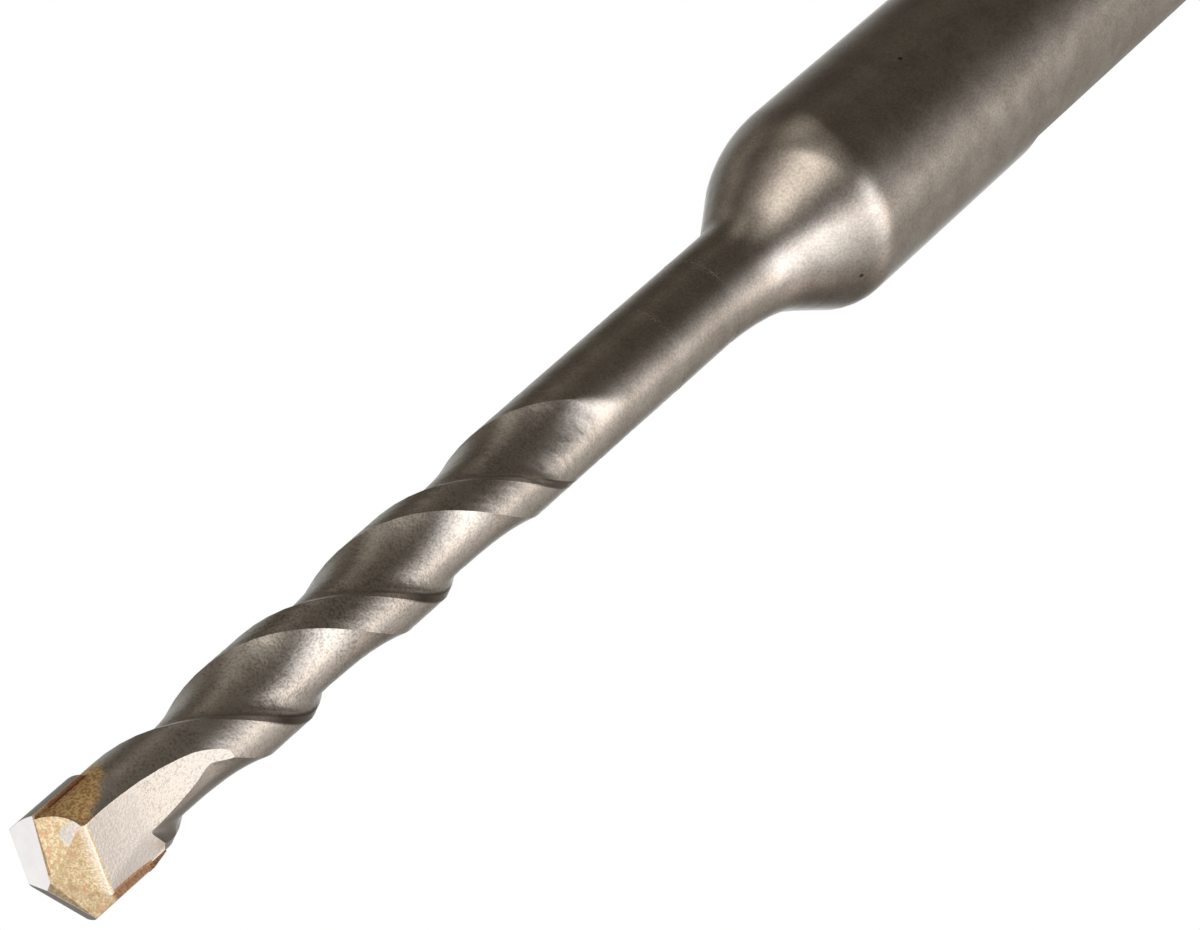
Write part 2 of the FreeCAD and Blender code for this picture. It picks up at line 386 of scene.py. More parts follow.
class HeadPlaces:
    """Node group: where a point lies on the head, folded to the near half.

    Height is along the axis and Along runs with the plate. Facing is the distance in
    front of the axis on the gullet's side, and Side the way along the gullet toward the
    next land. Turn is the angle from -Y toward +X, Lead the angle past the leading edge
    of the flute, Below the depth under the ground flanks, and Near is 1 on the near
    half. Lengths are in millimetres, angles in degrees.
    """

    OUTPUTS = ("Height", "Along", "Facing", "Side", "Turn", "Lead", "Radius", "Below", "Near")
    HALF_TURN = (-90.0, 90.0)

    def __init__(self, sizes: HeadSizes) -> None:
        """Builds the group once.

        Args:
            sizes: Sizes of the head.
        """
        self.tree, bench, entry, leave = new_group(
            "head_places", {"Position": (0.0, 0.0, 0.0)},
            {name: "NodeSocketFloat" for name in self.OUTPUTS})
        turn, face = math.radians(sizes.plate_turn), math.radians(sizes.gullet_facing)
        behind_plate = (-math.sin(turn), math.cos(turn), 0.0)
        place = bench.scale(entry["Position"], 1.0 / MM)
        height = bench.split(place)["Z"]
        flat = bench.vector("MULTIPLY", place, (1.0, 1.0, 0.0)).outputs[0]
        near = bench.math("LESS_THAN", bench.dot(flat, behind_plate), 0.0)
        folded = bench.scale(flat, bench.math("MULTIPLY_ADD", near, 2.0, -1.0))
        along = bench.dot(folded, (math.cos(turn), math.sin(turn), 0.0))
        depth = bench.dot(folded, behind_plate)
        facing = bench.dot(folded, (math.sin(face), -math.cos(face), 0.0))
        side = bench.dot(folded, (-math.cos(face), -math.sin(face), 0.0))
        pair = bench.split(folded)
        angle = bench.math("DEGREES", bench.math(
            "ARCTAN2", pair["X"], bench.math("MULTIPLY", pair["Y"], -1.0)))
        radius = bench.vector("LENGTH", flat).outputs["Value"]
        values = (height, along, facing, side, angle, self.lead(bench, sizes, angle, height),
                  radius, self.below(bench, sizes, (along, depth), height), near)
        for name, value in zip(self.OUTPUTS, values):
            bench.feed(leave[name], value)

    @staticmethod
    def below(bench: NodeBench, sizes: HeadSizes, way: tuple[Socket, Socket],
              height: Socket) -> Socket:
        """Depth of a point under the ground flanks of the plate.

        Args:
            bench: Bench of the group.
            sizes: Sizes of the head.
            way: Distances from the axis along the plate and behind it.
            height: Height of the point.

        Returns:
            The depth.
        """
        fall = bench.math("ABSOLUTE", bench.math(
            "MULTIPLY_ADD", way[0], sizes.flank_slope,
            bench.math("MULTIPLY", way[1], -sizes.relief_slope)))
        return bench.math("SUBTRACT", bench.math("SUBTRACT", sizes.top, fall), height)

    @classmethod
    def lead(cls, bench: NodeBench, sizes: HeadSizes, angle: Socket, height: Socket) -> Socket:
        """Angle of a point past the leading edge of the nearest flute.

        Args:
            bench: Bench of the group.
            sizes: Sizes of the head.
            angle: Turn of the point.
            height: Height of the point.

        Returns:
            The angle, -90 to 90 degrees.
        """
        edge = bench.math("MULTIPLY_ADD", height, sizes.turn_per_mm,
                          sizes.lead_facing - sizes.top * sizes.turn_per_mm)
        least, most = cls.HALF_TURN
        return bench.math("WRAP", bench.math("SUBTRACT", angle, edge), most, least)


@dataclass(frozen=True)
class BrazeTones:
    """Colours of the braze, deep and bright, and the tints that break them up.

    A tint comes in over its span of noise values; grain and mottle are in metres.
    """

    gold: tuple[Color, Color] = ((0.55, 0.43, 0.24), (0.90, 0.79, 0.58))
    copper: tuple[Color, Color] = ((0.24, 0.14, 0.08), (0.43, 0.26, 0.16))
    olive: Color = (0.46, 0.34, 0.16)
    olive_from: Span = (0.55, 0.9)
    olive_share: float = 0.55
    red: Color = (0.68, 0.38, 0.23)
    red_noise: Noise = Noise(2600.0)
    red_from: Span = (0.56, 0.68)
    red_share: float = 0.6
    grain: float = 0.00005
    mottle: float = 0.0003


class BrazeColor:
    """Node group: speckled gold of the braze, copper where it ran thin."""

    def __init__(self, grain: BlastGrain, tones: BrazeTones) -> None:
        """Builds the group once.

        Args:
            grain: Shared grain group.
            tones: Colours of the braze.
        """
        self.tree, bench, entry, leave = new_group(
            "braze_color", {"Position": (0.0, 0.0, 0.0), "Copper": 0.0},
            {"Color": "NodeSocketColor", "Height": "NodeSocketFloat"})
        place = entry["Position"]
        fine = bench.group(grain.tree, Position=place, Grain_Size=tones.grain,
                           Mottle_Size=tones.mottle)
        gold = bench.blend(fine["Grain"], *tones.gold)
        olive = bench.ramp(fine["Mottle"], tones.olive_from, 0.0, tones.olive_share)
        gold = bench.blend(olive, gold, tones.olive)
        red = bench.ramp(bench.noise(place, tones.red_noise), tones.red_from, 0.0,
                         tones.red_share)
        gold = bench.blend(red, gold, tones.red)
        copper = bench.blend(fine["Grain"], *tones.copper)
        bench.feed(leave["Color"], bench.blend(entry["Copper"], gold, copper))
        bench.feed(leave["Height"], fine["Grain"])


@dataclass(frozen=True)
class HeadKit:
    """Shared groups and sizes that the finishes draw on."""

    sizes: HeadSizes
    grain: BlastGrain
    places: HeadPlaces
    braze: BrazeColor


@dataclass(frozen=True)
class Workplace:
    bench: NodeBench
    kit: HeadKit
    place: Socket
    spot: Any


@dataclass(frozen=True)
class MetalFinish:
    """What the three metal finishes share."""

    name: str = "metal"

    def build(self, kit: HeadKit) -> bpy.types.Material:
        """Makes the material.

        Args:
            kit: Shared groups and sizes.

        Returns:
            The finished material.
        """
        material = bpy.data.materials.new(self.name)
        material.use_nodes = True
        bench = NodeBench(material.node_tree)
        place = bench.add("ShaderNodeTexCoord").outputs["Object"]
        spot = bench.group(kit.places.tree, Position=place)
        color, roughness, normal = self.lay(Workplace(bench, kit, place, spot))
        shader = bench.add("ShaderNodeBsdfPrincipled")
        for name, value in (("Base Color", color), ("Metallic", 1.0),
                            ("Roughness", roughness), ("Normal", normal)):
            bench.feed(shader.inputs[name], value)
        out = bench.add("ShaderNodeOutputMaterial")
        bench.feed(out.inputs["Surface"], shader.outputs["BSDF"])
        return material

    def lay(self, work: Workplace) -> tuple[Feed, Feed, Feed]:
        """Lays out the nodes of a finish; each finish has its own."""
        raise NotImplementedError


@dataclass(frozen=True)
class GulletMask:
    """Where the gullets are freshly ground, with the arc where the wheel ran out.

    inner and outer are distances from the ground surface and reach is counted from the
    axis, all in millimetres.
    """

    inner: Span = (-0.4, -0.02)
    outer: Span = (0.04, 0.1)
    reach: Span = (2.2, 2.24)
    heights: Span = (99.6, 101.2)

    def lay(self, work: Workplace) -> Socket:
        """Places the mask's nodes.

        Args:
            work: The material being laid out.

        Returns:
            The mask.
        """
        bench, spot, sizes = work.bench, work.spot, work.kit.sizes
        drop = bench.math("MAXIMUM", bench.math(
            "SUBTRACT", sizes.gullet_start, spot["Height"]), 0.0)
        surface = bench.math("MULTIPLY_ADD", bench.math("POWER", drop, 2.0),
                             0.5 / sizes.gullet_wheel, sizes.gullet_distance)
        off = bench.math("SUBTRACT", spot["Facing"], surface)
        return bench.product(bench.ramp(off, self.inner), bench.ramp(off, self.outer, 1.0, 0.0),
                             bench.ramp(spot["Radius"], self.reach, 1.0, 0.0),
                             bench.ramp(spot["Height"], self.heights))


@dataclass(frozen=True)
class LobeShadeMask:
    """Painted shade on the lobe between gullet and plate, deep in the flute.

    side is counted along the gullet and reach from the axis, in millimetres.
    """

    side: Span = (0.5, 1.3)
    share: float = 0.75
    reach: Span = (2.15, 2.22)
    heights: Span = (101.6, 103.2)

    def lay(self, work: Workplace) -> Socket:
        """Places the mask's nodes.

        Args:
            work: The material being laid out.

        Returns:
            The mask.
        """
        bench, spot = work.bench, work.spot
        return bench.product(bench.ramp(spot["Side"], self.side, 0.0, self.share),
                             bench.ramp(spot["Radius"], self.reach, 1.0, 0.0),
                             bench.ramp(spot["Height"], self.heights))


@dataclass(frozen=True)
class CornerShadeMask:
    """Painted shade: the dark line along the foot of each flute's leading edge, where the wall's
    foot lies in shadow, drawn on one side of the bit only.

    lead counts past the edge and turn from -Y toward +X, both in degrees; heights are
    in millimetres.
    """

    lead: Span = (-8.0, 1.0)
    lead_soft: float = 2.5
    heights: Span = (74.0, 103.0)
    height_soft: float = 1.5
    turn: Span = (-52.0, -22.0)
    share: float = 0.9

    def lay(self, work: Workplace) -> Socket:
        """Places the mask's nodes.

        Args:
            work: The material being laid out.

        Returns:
            The mask.
        """
        bench, spot = work.bench, work.spot
        return bench.product(bench.window(spot["Lead"], self.lead, self.lead_soft),
                             bench.window(spot["Height"], self.heights, self.height_soft),
                             bench.ramp(spot["Turn"], self.turn, self.share, 0.0))


@dataclass(frozen=True)
class StainMask:
    """The brown heat stain on the land beside the plate, with a ragged slanting edge.

    The edge is at edge_turn at edge_height and comes back by turn_per_mm above it;
    ragged, setback and soft are in degrees, heights and reach in millimetres.
    """

    edge_height: float = 104.8
    edge_turn: float = 55.0
    turn_per_mm: float = 13.2
    ragged: float = 12.0
    setback: float = 4.0
    soft: Span = (-7.0, 7.0)
    heights: Span = (104.3, 105.2)
    reach: Span = (2.1, 2.2)

    def lay(self, work: Workplace, mottle: Socket) -> Socket:
        """Places the mask's nodes.

        Args:
            work: The material being laid out.
            mottle: Broad mottling that makes the edge ragged.

        Returns:
            The mask.
        """
        bench, spot = work.bench, work.spot
        edge = bench.math("MULTIPLY_ADD", spot["Height"], -self.turn_per_mm,
                          self.edge_turn + self.turn_per_mm * self.edge_height)
        past = bench.math("SUBTRACT", bench.math("SUBTRACT", spot["Turn"], edge), self.setback)
        past = bench.math("MULTIPLY_ADD", mottle, self.ragged, past)
        return bench.product(bench.ramp(past, self.soft), bench.ramp(spot["Height"], self.heights),
                             bench.ramp(spot["Radius"], self.reach))


@dataclass(frozen=True)
class SpeckMask:
    """The two small black pits on shank and shoulder.

    spots are in millimetres; radii, over which a pit fades, are in metres.
    """

    spots: tuple[Point, ...] = ((-4.02, -1.71, 56.30), (2.31, -4.43, 47.59))
    radii: Span = (0.00006, 0.00016)
    share: float = 0.85

    def lay(self, work: Workplace) -> Feed:
        """Places the mask's nodes.

        Args:
            work: The material being laid out.

        Returns:
            The mask.
        """
        bench, mask = work.bench, 0.0
        for x, y, z in self.spots:
            away = bench.vector("DISTANCE", work.place, (x * MM, y * MM, z * MM)).outputs["Value"]
            mask = bench.math("MAXIMUM", mask, bench.ramp(away, self.radii, self.share, 0.0))
        return mask


@dataclass(frozen=True)
class BlastedSteel(MetalFinish):
    """Finish of the hardened, blasted body, with its bright gullets and heat stain.

    Heights are in millimetres from the shank's end, but highlight_heights from the gullet's
    top; grain, mottle, depths and rounding are in metres. Each entry of brighter is a
    span of heights and how much lighter the steel gets over it. fade_line is the side
    where the gullet's flat fades, as its change per millimetre of height and its start.
    """

    name: str = "blasted_steel"
    dark: Color = (0.33, 0.305, 0.285)
    light: Color = (0.535, 0.52, 0.50)
    gullet: Color = (0.82, 0.79, 0.77)
    # edge: painted highlight along the top edge of the gullet's flat
    edge: Color = (0.95, 0.92, 0.88)
    dull: Color = (0.36, 0.35, 0.345)
    # lobe_shade: painted shade deep in the flute, between gullet and plate
    lobe_shade: Color = (0.24, 0.21, 0.175)
    # corner: painted shade at the foot of the flutes' leading edges
    corner: Color = (0.1, 0.085, 0.07)
    stain: Color = (0.99, 0.78, 0.42)
    soot: Color = (0.62, 0.35, 0.16)
    speck: Color = (0.03, 0.026, 0.022)
    roughness: float = 0.19
    head_roughness: float = 0.28
    stain_roughness: float = 0.5
    rough_heights: Span = (62.0, 104.0)
    grain: float = 0.00006
    mottle: float = 0.0015
    mottle_share: float = 0.5
    base_shade: float = 0.25
    brighter: tuple[tuple[Span, float], ...] = (((64.0, 80.0), 0.35), ((94.0, 102.0), 0.3))
    coarse_heights: Span = (68.0, 98.0)
    coarse_least: float = 0.35
    speckle: float = 1.6
    rust_grain: Span = (0.1, 0.85)
    ground_dark: float = 0.72
    # painted shade: the flat darkens over these heights, shaping its highlight
    shade_heights: Span = (101.2, 105.4)
    shade_share: float = 0.64
    fade_line: Span = (0.281, -28.772)
    fade_side: Span = (-0.55, 0.0)
    fade_share: float = 0.8
    highlight_heights: Span = (-0.07, 0.0)
    highlight_soft: float = 0.02
    pit_depth: float = 0.0000035
    pit_strength: float = 0.9
    forged_round: float = 0.0007
    forged_heights: Span = (50.5, 74.0)
    forged_soft: float = 1.0
    forged_samples: int = 6
    gullet_mask: GulletMask = GulletMask()
    lobe_shade_mask: LobeShadeMask = LobeShadeMask()
    corner_shade_mask: CornerShadeMask = CornerShadeMask()
    stain_mask: StainMask = StainMask()
    speck_mask: SpeckMask = SpeckMask()

    def lay(self, work: Workplace) -> tuple[Feed, Feed, Feed]:
        """Lays out the steel.

        Args:
            work: The material being laid out.

        Returns:
            Its colour, roughness and normal.
        """
        bench, spot = work.bench, work.spot
        blast = bench.group(work.kit.grain.tree, Position=work.place, Grain_Size=self.grain,
                            Mottle_Size=self.mottle)
        coarse = bench.ramp(spot["Height"], self.coarse_heights, self.coarse_least, 1.0)
        color = bench.blend(self.gullet_mask.lay(work), self.skin(work, blast, coarse),
                            self.ground_flat(work, blast))
        rust = bench.blend(bench.ramp(blast["Grain"], self.rust_grain), self.soot, self.stain)
        heated = self.stain_mask.lay(work, blast["Mottle"])
        color = bench.blend(heated, color, rust)
        color = bench.blend(self.speck_mask.lay(work), color, self.speck)
        clean = bench.ramp(spot["Height"], self.rough_heights, self.roughness,
                           self.head_roughness)
        roughness = bench.math("MULTIPLY_ADD", heated,
                               self.stain_roughness - self.head_roughness, clean)
        normal = bench.bump(bench.product(blast["Grain"], coarse), self.pit_depth,
                            self.pit_strength, self.forged_normal(work))
        return color, roughness, normal

    def skin(self, work: Workplace, blast: Any, coarse: Socket) -> Socket:
        """Colour of the blasted steel without gullets and stain, with painted shade at the foot of
        the leading edges and on the lobe deep in the flute.

        Args:
            work: The material being laid out.
            blast: Outputs of the grain group.
            coarse: How coarse the grain is at a height.

        Returns:
            The colour.
        """
        bench = work.bench
        shade = bench.math("MULTIPLY_ADD", blast["Mottle"], self.mottle_share, self.base_shade)
        for heights, gain in self.brighter:
            shade = bench.math("ADD", shade, bench.ramp(work.spot["Height"], heights, 0.0, gain))
        speckle = bench.product(bench.math("SUBTRACT", blast["Grain"], 0.5),
                                bench.math("MULTIPLY", coarse, self.speckle))
        color = bench.blend(bench.math("ADD", shade, speckle, clamp=True), self.dark, self.light)
        # painted shade along the foot of the flutes' leading edges
        color = bench.blend(self.corner_shade_mask.lay(work), color, self.corner)
        # painted shade on the lobe deep in the flute
        return bench.blend(self.lobe_shade_mask.lay(work), color, self.lobe_shade)

    def ground_flat(self, work: Workplace, blast: Any) -> Socket:
        """Colour of the gullet's flat: bright, darker higher up as painted shade that shapes its
        highlight, duller up the flute's side, with a painted highlight along its top edge.

        Args:
            work: The material being laid out.
            blast: Outputs of the grain group.

        Returns:
            The colour.
        """
        bench, spot = work.bench, work.spot
        ground = bench.blend(blast["Grain"], darker(self.gullet, self.ground_dark), self.gullet)
        # painted shade higher up the flat
        ground = bench.blend(bench.ramp(spot["Height"], self.shade_heights, 0.0,
                                        self.shade_share), ground, self.dull)
        past = bench.math("SUBTRACT", spot["Side"], bench.math(
            "MULTIPLY_ADD", spot["Height"], *self.fade_line))
        ground = bench.blend(bench.ramp(past, self.fade_side, 0.0, self.fade_share),
                             ground, self.dull)
        # painted highlight along the flat's top edge
        rim_highlight = bench.window(spot["Height"], about(work.kit.sizes.gullet_top, self.highlight_heights),
                           self.highlight_soft)
        return bench.blend(rim_highlight, ground, self.edge)

    def forged_normal(self, work: Workplace) -> Socket:
        """Normal that rounds the forged shoulder's creases.

        Args:
            work: The material being laid out.

        Returns:
            The rounded normal.
        """
        bench = work.bench
        forged = bench.add("ShaderNodeBevel", samples=self.forged_samples)
        reach = bench.window(work.spot["Height"], self.forged_heights, self.forged_soft)
        bench.feed(forged.inputs["Radius"], bench.math("MULTIPLY", reach, self.forged_round))
        return forged.outputs["Normal"]


@dataclass(frozen=True)
class GroundHardMetal(MetalFinish):
    """Finish of the carbide plate: ground flanks, round margins darkened by painted shade,
    braze-wet sides.

    round_band is counted from the plate's cutting radius and copper_low from the
    gullet's top, in millimetres; grain, mottle and pit_depth are in metres.
    """

    name: str = "hard_metal"
    flank: Color = (0.82, 0.81, 0.82)
    # margin: painted shade on the plate's round margins
    margin_shade: Color = (0.34, 0.325, 0.29)
    thin_braze: Color = (0.57, 0.55, 0.54)
    flank_dark: float = 0.93
    round_band: Span = (-0.02, -0.008)
    wet_depth: Span = (0.006, 0.02)
    copper_low: Span = (-0.15, 0.05)
    copper_back: Span = (0.0, 0.2)
    copper_share: float = 0.55
    roughness: float = 0.36
    grain: float = 0.00005
    mottle: float = 0.0008
    pit_depth: float = 0.000002
    pit_strength: float = 0.5
    flow_share: float = 0.75

    def lay(self, work: Workplace) -> tuple[Feed, Feed, Feed]:
        """Lays out the hard metal.

        Args:
            work: The material being laid out.

        Returns:
            Its colour, roughness and normal.
        """
        bench, spot, sizes = work.bench, work.spot, work.kit.sizes
        blast = bench.group(work.kit.grain.tree, Position=work.place, Grain_Size=self.grain,
                            Mottle_Size=self.mottle)
        round_side = bench.ramp(spot["Radius"], about(sizes.cut_radius, self.round_band))
        wet = bench.product(bench.ramp(spot["Below"], self.wet_depth),
                            bench.math("SUBTRACT", 1.0, round_side))
        low = bench.ramp(spot["Height"], about(sizes.gullet_top, self.copper_low), 1.0, 0.0)
        back = bench.ramp(spot["Along"], self.copper_back, 0.0, self.copper_share)
        braze = bench.group(work.kit.braze.tree, Position=work.place,
                            Copper=bench.math("MAXIMUM", low, back))
        face = bench.blend(blast["Mottle"], darker(self.flank, self.flank_dark), self.flank)
        # painted shade on the round margins
        color = bench.blend(round_side, face, self.margin_shade)
        thin = bench.blend(1.0, braze["Color"], self.thin_braze, Mixing.TINT)
        normal = bench.bump(blast["Grain"], self.pit_depth, self.pit_strength,
                            self.flow_normal(work, wet))
        return bench.blend(wet, color, thin), self.roughness, normal

    def flow_normal(self, work: Workplace, wet: Socket) -> Socket:
        """Normal of the braze that rounds off the plate's wet sides.

        Args:
            work: The material being laid out.
            wet: Mask of the wet sides.

        Returns:
            The bent normal.
        """
        bench, sizes = work.bench, work.kit.sizes
        face, tilt = math.radians(sizes.gullet_facing), math.radians(sizes.gullet_tilt)
        level = (math.sin(face) * math.cos(tilt), -math.cos(face) * math.cos(tilt), 0.0)
        half = bench.math("MULTIPLY_ADD", work.spot["Near"], 2.0, -1.0)
        flow = bench.plus(bench.scale(level, half), (0.0, 0.0, math.sin(tilt)))
        share = bench.math("MULTIPLY", wet, self.flow_share)
        own = bench.scale(bench.add("ShaderNodeNewGeometry").outputs["Normal"],
                          bench.math("SUBTRACT", 1.0, share))
        both = bench.plus(bench.scale(flow, share), own)
        return bench.vector("NORMALIZE", both).outputs[0]


@dataclass(frozen=True)
class FlowedBraze(MetalFinish):
    """Finish of the braze in the slot and on the slopes.

    Spans of heights are counted from the gullet's top and spans of edges outward from
    the gullet's leaning slope, in millimetres; the bare patch's radii and the depths
    are in metres. slope_corner is the distance from the axis and the height of a point
    on the slope beside the ridge.
    """

    name: str = "flowed_braze"
    bare: Color = (0.77, 0.75, 0.735)
    pale: Color = (0.95, 0.88, 0.76)
    # rim: painted highlight along the braze's edge at the gullet's top
    rim_highlight: Color = (0.92, 0.88, 0.82)
    olive: Color = (0.56, 0.41, 0.23)
    slope_facing: float = 18.0
    slope_tilt: float = 43.3
    slope_corner: Span = (0.5, 109.68)
    flow_edge: Span = (-0.04, -0.02)
    ridge_depth: Span = (-0.75, -0.05)
    ridge_share: float = 0.5
    copper_heights: Span = (-0.25, -0.1)
    pale_heights: Span = (0.03, 0.5)
    pale_share: float = 0.6
    rim_highlight_heights: Span = (-1.5, 0.03)
    rim_highlight_soft: float = 0.04
    rim_highlight_edge: Span = (-0.03, -0.01)
    bare_spot: Point = (0.66, -1.8, 108.33)
    bare_edge: Span = (-0.06, -0.02)
    bare_radii: Span = (0.0006, 0.00072)
    bare_share: float = 0.9
    bare_dark: float = 0.72
    ragged: Noise = Noise(4000.0, 3.0)
    ragged_depth: float = 0.0003
    roughness: float = 0.4
    pit_depth: float = 0.000008
    pit_strength: float = 0.7

    def lay(self, work: Workplace) -> tuple[Feed, Feed, Feed]:
        """Lays out the braze.

        Args:
            work: The material being laid out.

        Returns:
            Its colour, roughness and normal.
        """
        bench, height, top = work.bench, work.spot["Height"], work.kit.sizes.gullet_top
        low = bench.ramp(height, about(top, self.copper_heights), 1.0, 0.0)
        braze = bench.group(work.kit.braze.tree, Position=work.place, Copper=low)
        outside = self.outside(work)
        flowed = bench.ramp(outside, self.flow_edge)
        ridge = bench.product(flowed, bench.ramp(self.slope_depth(work), self.ridge_depth,
                                                 0.0, self.ridge_share))
        color = bench.blend(ridge, braze["Color"], self.olive)
        pale = bench.product(flowed, bench.ramp(height, about(top, self.pale_heights),
                                                self.pale_share, 0.0))
        color = bench.blend(pale, color, self.pale)
        bare = bench.blend(braze["Height"], darker(self.bare, self.bare_dark), self.bare)
        color = bench.blend(self.bare_mask(work, outside), color, bare)
        # painted highlight along the edge at the gullet's top
        rim_highlight = bench.product(bench.ramp(outside, self.rim_highlight_edge), bench.window(
            height, about(top, self.rim_highlight_heights), self.rim_highlight_soft))
        color = bench.blend(rim_highlight, color, self.rim_highlight)
        normal = bench.bump(braze["Height"], self.pit_depth, self.pit_strength, None)
        return color, self.roughness, normal

    @staticmethod
    def outside(work: Workplace) -> Socket:
        """Distance outward from the gullet's leaning slope.

        Args:
            work: The material being laid out.

        Returns:
            The distance, near 0 on the slope and negative in front of the plate.
        """
        bench, sizes = work.bench, work.kit.sizes
        lean = math.radians(sizes.gullet_tilt)
        level, rise = math.cos(lean), math.sin(lean)
        return bench.math("MULTIPLY_ADD", work.spot["Facing"], level, bench.math(
            "MULTIPLY_ADD", work.spot["Height"], rise,
            -sizes.gullet_distance * level - sizes.gullet_top * rise))

    def slope_depth(self, work: Workplace) -> Socket:
        """Distance outward from the slope beside the ridge.

        Args:
            work: The material being laid out.

        Returns:
            The distance, negative inside.
        """
        bench, spot = work.bench, work.spot
        turn, tilt = math.radians(self.slope_facing), math.radians(self.slope_tilt)
        out = bench.math("MULTIPLY", spot["Radius"], bench.math(
            "COSINE", bench.math("SUBTRACT", bench.math("RADIANS", spot["Turn"]), turn)))
        offset, top = self.slope_corner
        return bench.math("MULTIPLY_ADD", out, math.sin(tilt), bench.math(
            "MULTIPLY_ADD", spot["Height"], math.cos(tilt),
            -offset * math.sin(tilt) - top * math.cos(tilt)))

    def bare_mask(self, work: Workplace, outside: Socket) -> Socket:
        """Mask of the bare steel patch at the upper corner of one slope.

        Args:
            work: The material being laid out.
            outside: Distance outward from the gullet's leaning slope.

        Returns:
            The mask.
        """
        bench = work.bench
        center = tuple(value * MM for value in self.bare_spot)
        away = bench.vector("DISTANCE", work.place, center).outputs["Value"]
        ragged = bench.math("MULTIPLY_ADD", bench.noise(work.place, self.ragged),
                            self.ragged_depth, away)
        return bench.product(bench.ramp(ragged, self.bare_radii, self.bare_share, 0.0),
                             bench.ramp(outside, self.bare_edge, 1.0, 0.0))


@dataclass
class DrillBit:
    """The three pieces of the bit, which keep their CAD meshes."""

    nodes: dict[str, bpy.types.Object]
    finishes: dict[str, MetalFinish] = field(default_factory=lambda: {
        "steel_body": BlastedSteel(),
        "carbide_plate": GroundHardMetal(),
        "braze_seam": FlowedBraze()})

    def dress(self, kit: HeadKit) -> None:
        """Gives each piece its finish.

        Args:
            kit: Shared groups and sizes.
        """
        for name, finish in self.finishes.items():
            piece = self.nodes[name]
            material = finish.build(kit)
            piece.data.materials.clear()
            piece.data.materials.append(material)
            LOG.info("%s: %s, %d faces", name, material.name, len(piece.data.polygons))


@dataclass(frozen=True)
class LightLobe:
    """One soft light of the studio, brightest in its direction.

    Azimuth 0 is -Y and 90 is +X; a higher sharpness makes a smaller light.
    """

    azimuth: float
    elevation: float
    sharpness: float
    color: Color

    def center(self) -> Vector:
        """Unit vector from the object to the light."""
        a, e = math.radians(self.azimuth), math.radians(self.elevation)
        return Vector((math.sin(a) * math.cos(e), -math.cos(a) * math.cos(e), math.sin(e)))

    def glow(self, bench: NodeBench, way: Socket) -> Socket:
        """Strength of the light in a direction.

        Args:
            bench: Bench of the world.
            way: The direction.

        Returns:
            The strength, 1 at the light's centre.
        """
        towards = bench.dot(way, tuple(self.center()))
        fall = bench.math("MULTIPLY_ADD", towards, self.sharpness, -self.sharpness)
        return bench.math("EXPONENT", fall)


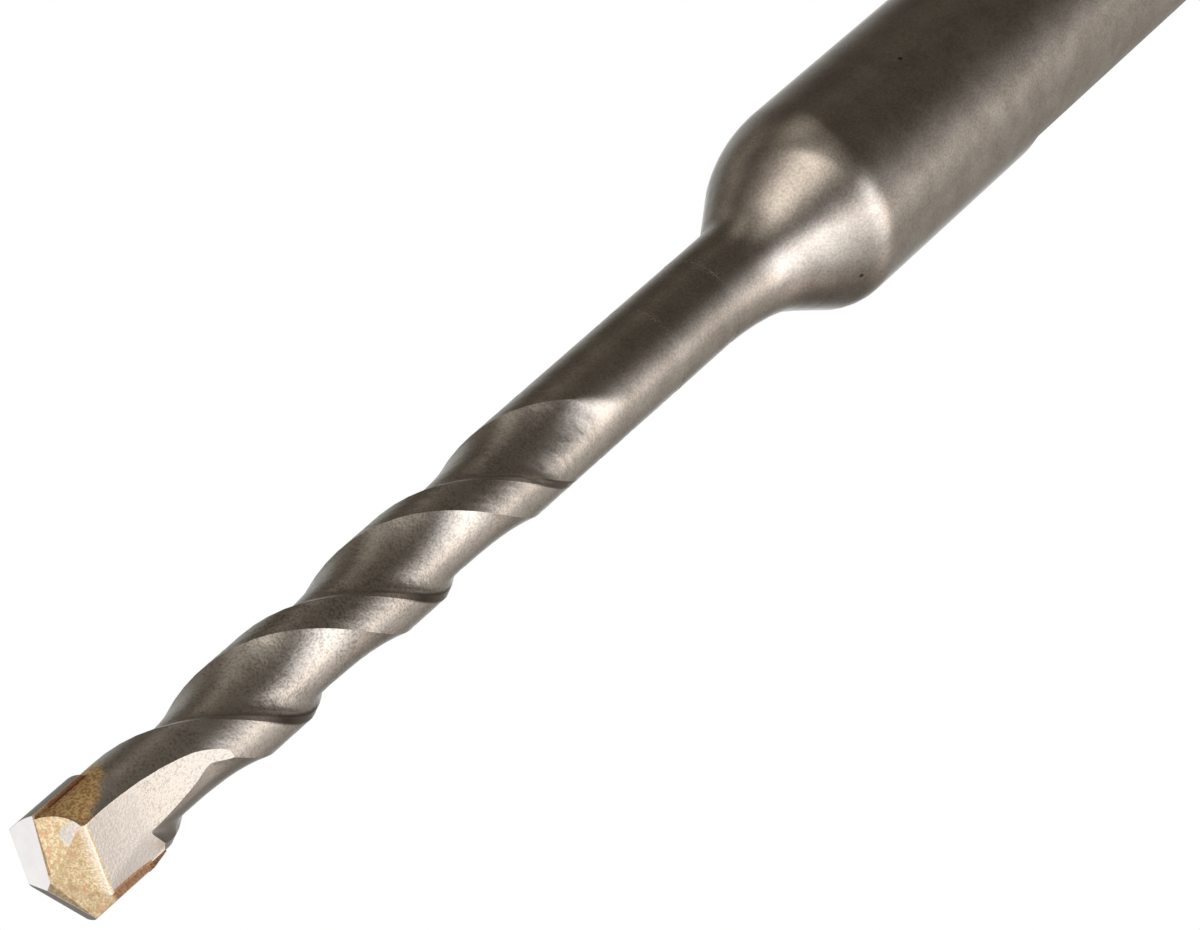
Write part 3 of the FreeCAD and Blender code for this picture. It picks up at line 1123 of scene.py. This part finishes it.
@dataclass
class Studio:
    """Pale floor, white surroundings for the camera and soft lights for the metal.

    The patch is where the floor fades from its contact shade to white, in metres from
    the axis.
    """

    ambient: Color = (0.1, 0.083, 0.063)
    floor_size: float = 3.0
    floor_drop: float = 0.00005
    paper: Color = (0.9, 0.9, 0.9)
    patch: Span = (0.006, 0.02)
    lobes: tuple[LightLobe, ...] = (
        LightLobe(-60.0, -10.0, 8.5, (1.48, 1.4, 1.32)),
        LightLobe(40.0, 30.0, 9.0, (1.58, 1.39, 1.23)),
        LightLobe(-110.0, -45.0, 8.0, (0.319, 0.295, 0.265)),
        LightLobe(-38.0, -12.0, 16.0, (1.4, 1.36, 1.34)),
        LightLobe(70.0, -20.0, 32.0, (0.386, 0.34, 0.289)),
        LightLobe(140.0, -30.0, 32.0, (0.306, 0.317, 0.302)),
        LightLobe(30.0, 10.0, 18.0, (0.967, 0.893, 0.784)),
        LightLobe(-60.0, -30.0, 36.0, (0.908, 0.764, 0.638)),
        LightLobe(-40.0, 10.0, 36.0, (1.08, 0.99, 0.938)),
        LightLobe(-100.0, -20.0, 32.0, (0.363, 0.282, 0.241)),
        LightLobe(110.0, -10.0, 32.0, (0.216, 0.182, 0.156)),
        LightLobe(20.0, -80.0, 32.0, (0.278, 0.235, 0.205)),
        LightLobe(60.0, 65.0, 12.0, (1.05, 1.05, 1.05)),
        LightLobe(125.0, 50.0, 12.0, (1.12, 1.12, 1.12)),
        LightLobe(-65.0, 50.0, 12.0, (0.9, 0.88, 0.85)))
    backdrop: LightLobe = LightLobe(180.0, -40.0, 16.0, WHITE)

    def build_world(self) -> None:
        """Makes the world: white to the camera and behind the bit, lights elsewhere."""
        world = bpy.data.worlds.new("studio")
        bpy.context.scene.world = world
        world.use_nodes = True
        bench = NodeBench(world.node_tree)
        way = bench.add("ShaderNodeTexCoord").outputs["Generated"]
        total: Feed = self.ambient
        for lobe in self.lobes:
            total = bench.plus(total, bench.scale(lobe.color, lobe.glow(bench, way)))
        path = bench.add("ShaderNodeLightPath").outputs
        seen = bench.math("MAXIMUM", path["Is Camera Ray"], path["Is Transmission Ray"])
        behind = bench.math("MULTIPLY", path["Is Glossy Ray"], self.backdrop.glow(bench, way))
        color = bench.blend(bench.math("MAXIMUM", seen, behind), total, WHITE)
        sky = bench.add("ShaderNodeBackground")
        bench.feed(sky.inputs["Color"], color)
        out = bench.add("ShaderNodeOutputWorld")
        bench.feed(out.inputs["Surface"], sky.outputs[0])
        LOG.info("studio: %d soft lights", len(self.lobes))

    def build_floor(self) -> None:
        """Lays the pale floor just under the shank's end."""
        half = self.floor_size / 2
        mesh = bpy.data.meshes.new("floor")
        corners = [(-half, -half, 0), (half, -half, 0), (half, half, 0), (-half, half, 0)]
        mesh.from_pydata(corners, [], [(0, 1, 2, 3)])
        mesh.materials.append(self.floor_paper())
        floor = bpy.data.objects.new("floor", mesh)
        floor.location.z = -self.floor_drop
        floor.visible_glossy = False
        floor.visible_diffuse = False
        floor.visible_shadow = False
        bpy.context.scene.collection.objects.link(floor)

    def floor_paper(self) -> bpy.types.Material:
        """Makes the floor's paper: shaded by the bit, white further out.

        Returns:
            The material, see-through from below.
        """
        material = bpy.data.materials.new("floor_paper")
        material.use_nodes = True
        bench = NodeBench(material.node_tree)
        paper = bench.add("ShaderNodeBsdfDiffuse")
        bench.feed(paper.inputs["Color"], self.paper)
        reach = bench.vector("LENGTH", bench.add("ShaderNodeTexCoord").outputs["Object"])
        camera = bench.add("ShaderNodeLightPath").outputs["Is Camera Ray"]
        away = bench.math("MULTIPLY", bench.ramp(reach.outputs["Value"], self.patch), camera)
        shader = paper.outputs[0]
        for share, kind in (
                (away, "ShaderNodeEmission"),
                (bench.add("ShaderNodeNewGeometry").outputs["Backfacing"],
                 "ShaderNodeBsdfTransparent")):
            mix = bench.add("ShaderNodeMixShader")
            for slot, value in enumerate((share, shader, bench.add(kind).outputs[0])):
                bench.feed(mix.inputs[slot], value)
            shader = mix.outputs[0]
        out = bench.add("ShaderNodeOutputMaterial")
        bench.feed(out.inputs["Surface"], shader)
        return material


@dataclass(frozen=True)
class PhotoCamera:
    """Camera in front of the bit, looking down on it and rolled; lengths in metres."""

    lens: float = 140.0
    sensor: float = 36.0
    pitch: float = 40.0
    roll: float = -132.01
    distance: float = 205.5 * MM
    target: Point = (-2.441 * MM, 0.0, 74.242 * MM)
    clip: Span = (0.01, 10.0)

    def place(self) -> None:
        """Creates the camera and makes it the scene's."""
        data = bpy.data.cameras.new("photo_camera")
        data.lens, data.sensor_width, data.sensor_fit = self.lens, self.sensor, "HORIZONTAL"
        data.clip_start, data.clip_end = self.clip
        camera = bpy.data.objects.new("photo_camera", data)
        bpy.context.scene.collection.objects.link(camera)
        phi, turn = math.radians(self.pitch), math.radians(self.roll)
        sight = Vector((0.0, math.cos(phi), -math.sin(phi)))
        side, lift = Vector((1.0, 0.0, 0.0)), Vector((0.0, math.sin(phi), math.cos(phi)))
        right = math.cos(turn) * side + math.sin(turn) * lift
        up = -math.sin(turn) * side + math.cos(turn) * lift
        spin = Matrix((right, up, -sight)).transposed().to_4x4()
        where = Vector(self.target) - sight * self.distance
        camera.matrix_world = Matrix.Translation(where) @ spin
        bpy.context.scene.camera = camera
        LOG.info("camera: %.0f mm lens, %.1f mm away", self.lens, self.distance / MM)


def main() -> None:
    """Builds the scene in order."""
    logging.basicConfig(level=logging.INFO, format="%(message)s")
    bpy.ops.wm.read_factory_settings(use_empty=True)
    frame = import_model()
    bpy.context.scene.view_settings.view_transform = "Standard"
    studio = Studio()
    studio.build_world()
    studio.build_floor()
    PhotoCamera().place()
    sizes, grain = HeadSizes(), BlastGrain()
    kit = HeadKit(sizes, grain, HeadPlaces(sizes), BrazeColor(grain, BrazeTones()))
    DrillBit(frame["nodes"]).dress(kit)


if __name__ == "__main__":
    main()
